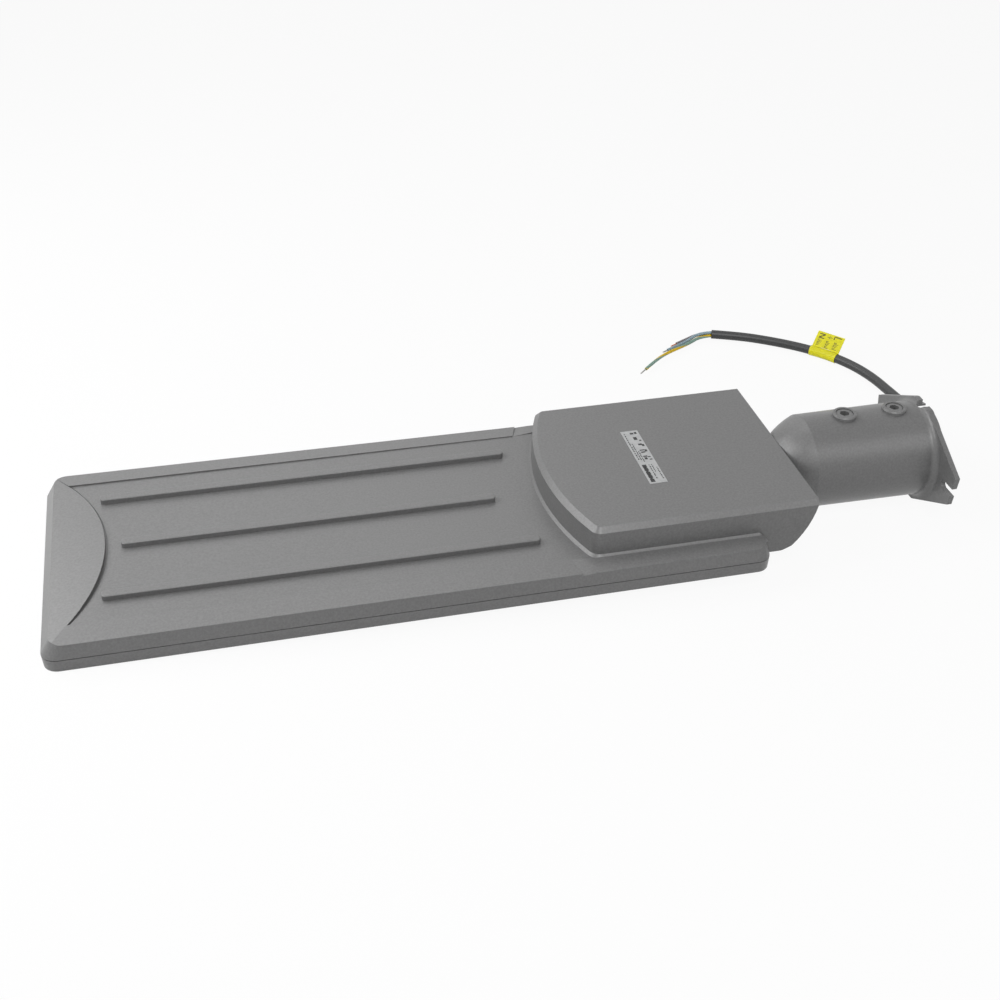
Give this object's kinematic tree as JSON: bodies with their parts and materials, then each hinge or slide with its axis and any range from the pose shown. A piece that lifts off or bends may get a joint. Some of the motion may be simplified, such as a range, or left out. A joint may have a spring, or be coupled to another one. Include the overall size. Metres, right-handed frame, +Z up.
{
  "type": "street light head",
  "caption": "Flat die-cast LED road lantern with raised bars, driver compartment, round pole socket with slotted flange, and a short stripped supply cable",
  "frame": {"origin": "centre of the pole socket's mouth, on the outer face of its flange", "axes": "+X out of the socket towards the pole, +Z up to the lamp's top side with the set screws, Y across the lamp; the light window faces -Z"},
  "size_m": [0.6522, 0.3416, 0.0726],
  "materials": {
    "cast_grey": "fine textured powder coat on die-cast aluminium",
    "screw_steel": "stainless steel",
    "label_pale": "pale printed film",
    "sheath_black": "matt rubber sheath",
    "tag_yellow": "yellow printed film flag",
    "core_brown": "PVC core insulation",
    "core_blue": "PVC core insulation",
    "core_green_yellow": "striped PVC core insulation",
    "copper": "bare copper strands",
    "tinned_copper": "tinned copper strands",
    "silicone": "silicone rubber",
    "glass": "toughened flat glass",
    "spring_steel": "spring steel",
    "board_white": "white solder mask on aluminium",
    "led_yellow": "phosphor silicone",
    "lens_clear": "clear moulded plastic",
    "case_white": "moulded plastic",
    "case_black": "moulded plastic",
    "screw_brass": "brass",
    "gland_black": "black polyamide",
    "lead_red": "insulated lead"
  },
  "bodies": {
    "root": {"upper_housing": "cast_grey", "lower_frame": "cast_grey", "set_screw_inner": "screw_steel", "set_screw_outer": "screw_steel", "rating_label": "label_pale", "supply_cable": "sheath_black", "cable_tag": "tag_yellow", "core_brown": "core_brown", "core_blue": "core_blue", "core_earth": "core_green_yellow", "copper_brown": "copper", "copper_blue": "tinned_copper", "copper_earth": "tinned_copper", "frame_gasket": "silicone", "frame_screws": "screw_steel", "glass_cover": "glass", "glass_gasket": "silicone", "glass_clips": "spring_steel", "clip_screws": "screw_steel", "led_board": "board_white", "leds": "led_yellow", "lens_sheet": "lens_clear", "board_screws": "screw_steel", "driver_case": "case_white", "roof_screws": "screw_steel", "surge_module": "case_black", "terminal_block": "case_white", "terminal_screws": "screw_steel", "earth_screw": "screw_brass", "cable_gland": "gland_black", "gland_nut": "gland_black", "breather_vent": "gland_black", "led_leads": "lead_red", "driver_leads": "lead_red", "supply_leads": "core_brown"}
  },
  "joints": []
}
